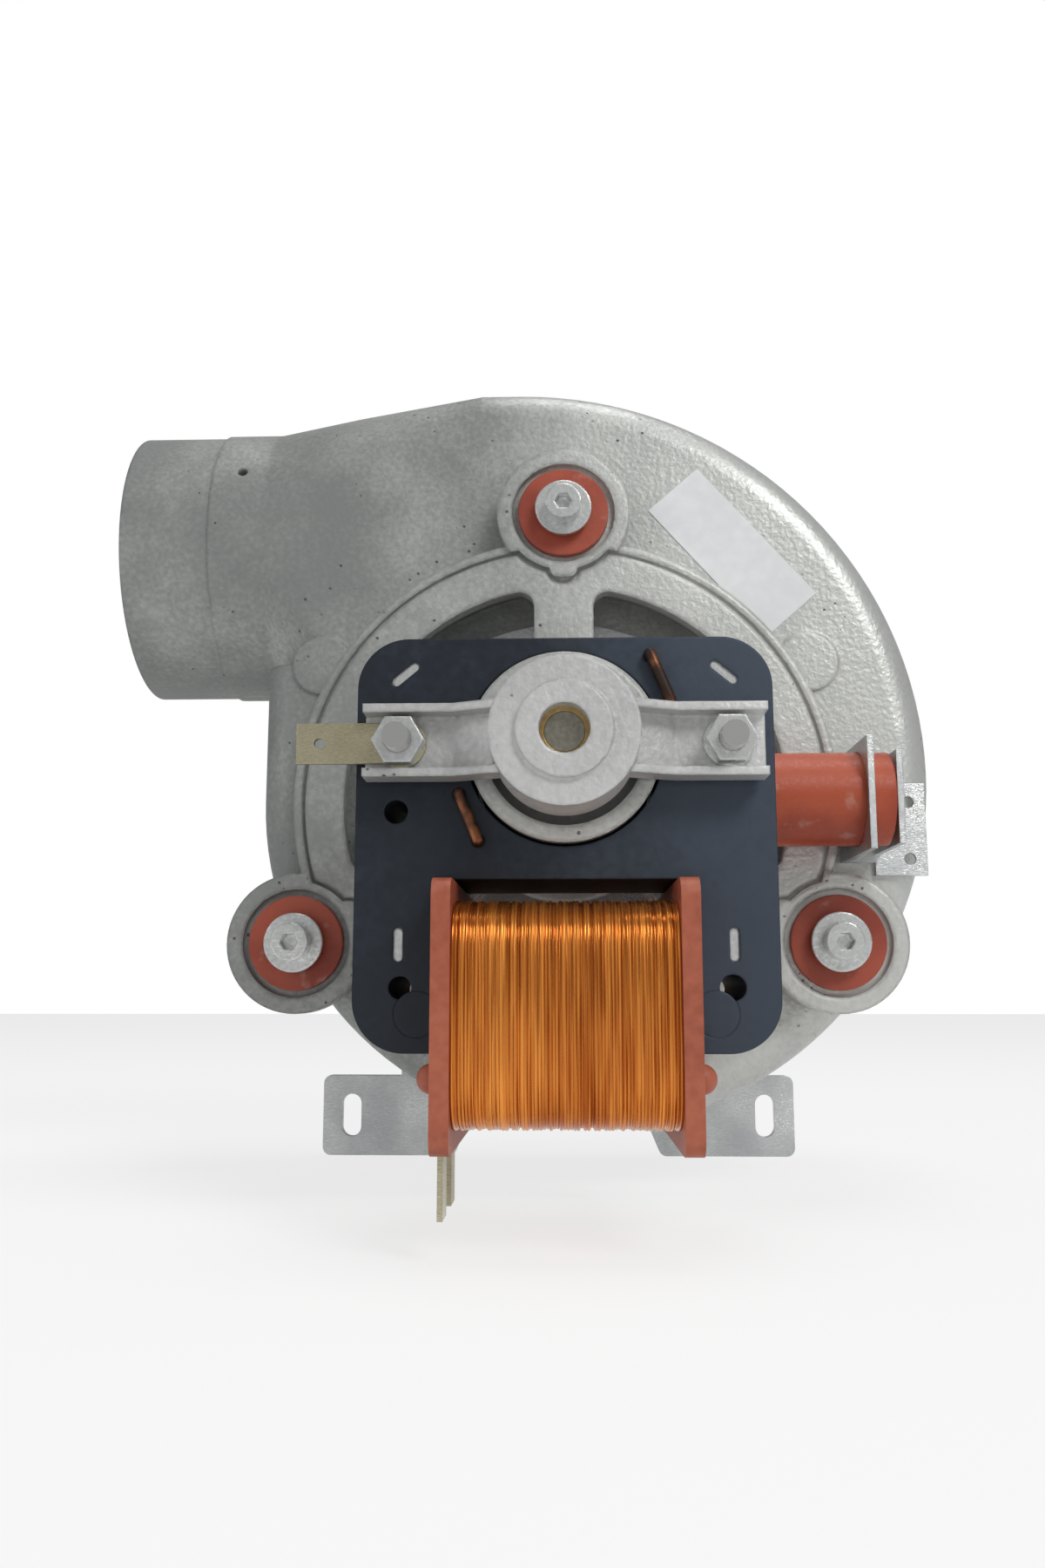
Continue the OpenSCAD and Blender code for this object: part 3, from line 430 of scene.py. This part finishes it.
# ---- Silicone sleeve --------------------------------------------------------
# A thick red silicone sleeve, closed at its outer end, lies beside the stack. A bent
# plated bracket, riveted to the scroll's face, holds it between end wall and fin.

sleeve_red = silicone("sleeve_silicone", (0.36, 0.048, 0.014, 1), (0.50, 0.085, 0.03, 1))
dress(sleeve_red, "silicone_sleeve")
dress(zinc_sheet, "sleeve_bracket")
dress(screw_zinc, "sleeve_bracket_rivets")


# ---- Label ------------------------------------------------------------------
# A small white film label on the shoulder of the scroll, left blank.

film_dark = (0.78, 0.79, 0.80, 1)
film_light = (0.86, 0.87, 0.88, 1)
label_film = matt("label_film", film_dark, film_light, scale=400.0, rough=0.34, depth=0.00002)
dress(label_film, "label")


# ---- Studio -----------------------------------------------------------------
# A wide white table under a white sky, two soft lamps from the front and one from
# above. The camera sees table and sky bright, and the table keeps a soft shadow.

table_top = Finish("studio_white", 0.0)
camera_ray = table_top.node("ShaderNodeLightPath", {}, {}, "Is Camera Ray")
glossy_ray = table_top.node("ShaderNodeLightPath", {}, {}, "Is Glossy Ray")
glow_share = camera_ray.sum("MAXIMUM", camera_ray, glossy_ray) * 0.75
paper = table_top.node("ShaderNodeBsdfDiffuse", {}, {"Color": (0.85, 0.85, 0.85, 1)})
glow = table_top.node("ShaderNodeEmission", {}, {"Color": (1, 1, 1, 1)})
lit = table_top.node("ShaderNodeMixShader", {}, {0: glow_share, 1: paper, 2: glow})
table_top.join(table_top.tree.nodes["Material Output"].inputs["Surface"], lit)

table_half_width = 3.0
table = bmesh.new()
bmesh.ops.create_grid(table, x_segments=1, y_segments=1, size=table_half_width)
bmesh.ops.translate(table, vec=(0, 0, cad_box[0][2]), verts=table.verts)
table_mesh = bpy.data.meshes.new("studio_floor")
table.to_mesh(table_mesh)
table.free()
studio_floor = bpy.data.objects.new("studio_floor", table_mesh)
studio_floor.data.materials.append(table_top.material)
bpy.context.scene.collection.objects.link(studio_floor)

world = bpy.data.worlds.new("studio_world")
bpy.context.scene.world = world
world.use_nodes = True
sky = world.node_tree.nodes
sky_links = world.node_tree.links
sky.clear()
sky_rays = sky.new("ShaderNodeLightPath")
seen = sky.new("ShaderNodeMath")
seen.operation = "MAXIMUM"
sky_links.new(sky_rays.outputs["Is Camera Ray"], seen.inputs[0])
sky_links.new(sky_rays.outputs["Is Transmission Ray"], seen.inputs[1])
sky_mix = sky.new("ShaderNodeMixShader")
sky_links.new(seen.outputs[0], sky_mix.inputs[0])
for place, strength in ((1, 0.34), (2, 1.0)):
    half_sky = sky.new("ShaderNodeBackground")
    half_sky.inputs["Color"].default_value = (1, 1, 1, 1)
    half_sky.inputs["Strength"].default_value = strength
    sky_links.new(half_sky.outputs[0], sky_mix.inputs[place])
sky_out = sky.new("ShaderNodeOutputWorld")
sky_links.new(sky_mix.outputs[0], sky_out.inputs["Surface"])


middle_of_fan = (0, -0.07, 0)


def soft_lamp(name, place, size, watts):
    lamp = bpy.data.lights.new(name, "AREA")
    lamp.shape = "DISK"
    lamp.size = size
    lamp.energy = watts
    holder = bpy.data.objects.new(name, lamp)
    holder.location = place
    aim = Vector(middle_of_fan) - Vector(place)
    holder.rotation_euler = aim.to_track_quat("-Z", "Y").to_euler()
    bpy.context.scene.collection.objects.link(holder)


soft_lamp("key_lamp", (0.55, -0.95, 0.75), size=0.5, watts=6.0)
soft_lamp("fill_lamp", (-0.9, -0.8, 0.35), size=0.6, watts=1.6)
soft_lamp("top_lamp", (0.1, -0.1, 1.2), size=0.6, watts=4.0)

view = bpy.data.cameras.new("front_camera")
view.lens = 30.13
view.sensor_width = 36.0
view.clip_start = 0.01
front_camera = bpy.data.objects.new("front_camera", view)
front_camera.location = (-0.00005, -0.32883, -0.03863)
front_camera.rotation_euler = (math.radians(99.296), 0, math.radians(1.857))
bpy.context.scene.collection.objects.link(front_camera)
bpy.context.scene.camera = front_camera
bpy.context.scene.view_settings.view_transform = "Standard"
